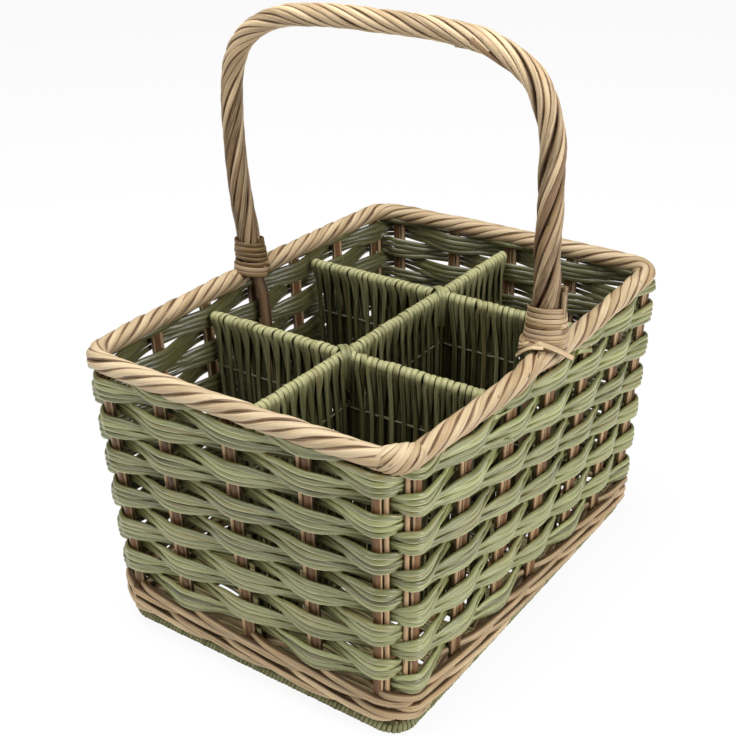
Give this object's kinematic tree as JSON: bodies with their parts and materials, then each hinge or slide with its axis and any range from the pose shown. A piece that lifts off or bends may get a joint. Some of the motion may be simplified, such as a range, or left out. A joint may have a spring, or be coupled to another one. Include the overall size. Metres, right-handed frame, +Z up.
{
  "type": "wine bottle basket",
  "caption": "Rectangular wicker bottle basket with wrapped dividers that make compartments, a rope border and a fixed bow handle over its middle.",
  "frame": {"origin": "middle of the basket on the surface that it stands on", "axes": "+Z up, X across the width, which the handle spans, Y along the length"},
  "size_m": [0.2838, 0.37, 0.4207],
  "materials": {
    "border_willow": "satin",
    "wale_willow": "satin",
    "green_cane": "matt",
    "dark_green_cane": "matt",
    "stake_willow": "matt",
    "foot_wrap": "matt",
    "handle_willow": "satin",
    "handle_bow": "matt",
    "binding_cane": "satin",
    "base_willow": "matt"
  },
  "bodies": {
    "root": {"foot_hoop": "foot_wrap", "base_weave": "base_willow", "base_stick_1": "stake_willow", "base_stick_2": "stake_willow", "base_stick_3": "stake_willow", "base_stick_4": "stake_willow", "front_stake_1": "stake_willow", "front_stake_2": "stake_willow", "front_stake_3": "stake_willow", "front_stake_4": "stake_willow", "front_stake_5": "stake_willow", "right_stake_1": "stake_willow", "right_stake_2": "stake_willow", "right_stake_3": "stake_willow", "right_stake_4": "stake_willow", "right_stake_5": "stake_willow", "right_stake_6": "stake_willow", "right_stake_7": "stake_willow", "back_stake_1": "stake_willow", "back_stake_2": "stake_willow", "back_stake_3": "stake_willow", "back_stake_4": "stake_willow", "back_stake_5": "stake_willow", "left_stake_1": "stake_willow", "left_stake_2": "stake_willow", "left_stake_3": "stake_willow", "left_stake_4": "stake_willow", "left_stake_5": "stake_willow", "left_stake_6": "stake_willow", "left_stake_7": "stake_willow", "wale_row_1": "wale_willow", "wale_row_2": "wale_willow", "weave_row_01": "green_cane", "weave_row_02": "green_cane", "weave_row_03": "green_cane", "weave_row_04": "green_cane", "weave_row_05": "green_cane", "weave_row_06": "green_cane", "weave_row_07": "green_cane", "weave_row_08": "green_cane", "weave_row_09": "green_cane", "weave_row_10": "green_cane", "weave_row_11": "green_cane", "weave_row_12": "green_cane", "rim_border": "border_willow", "handle_core": "handle_bow", "handle_rope": "handle_willow", "handle_binding_left": "binding_cane", "handle_binding_right": "binding_cane", "long_divider": "dark_green_cane", "cross_divider_front_left": "dark_green_cane", "cross_divider_front_right": "dark_green_cane", "crossing_tie_front": "dark_green_cane", "cross_divider_back_left": "dark_green_cane", "cross_divider_back_right": "dark_green_cane", "crossing_tie_back": "dark_green_cane"}
  },
  "joints": []
}
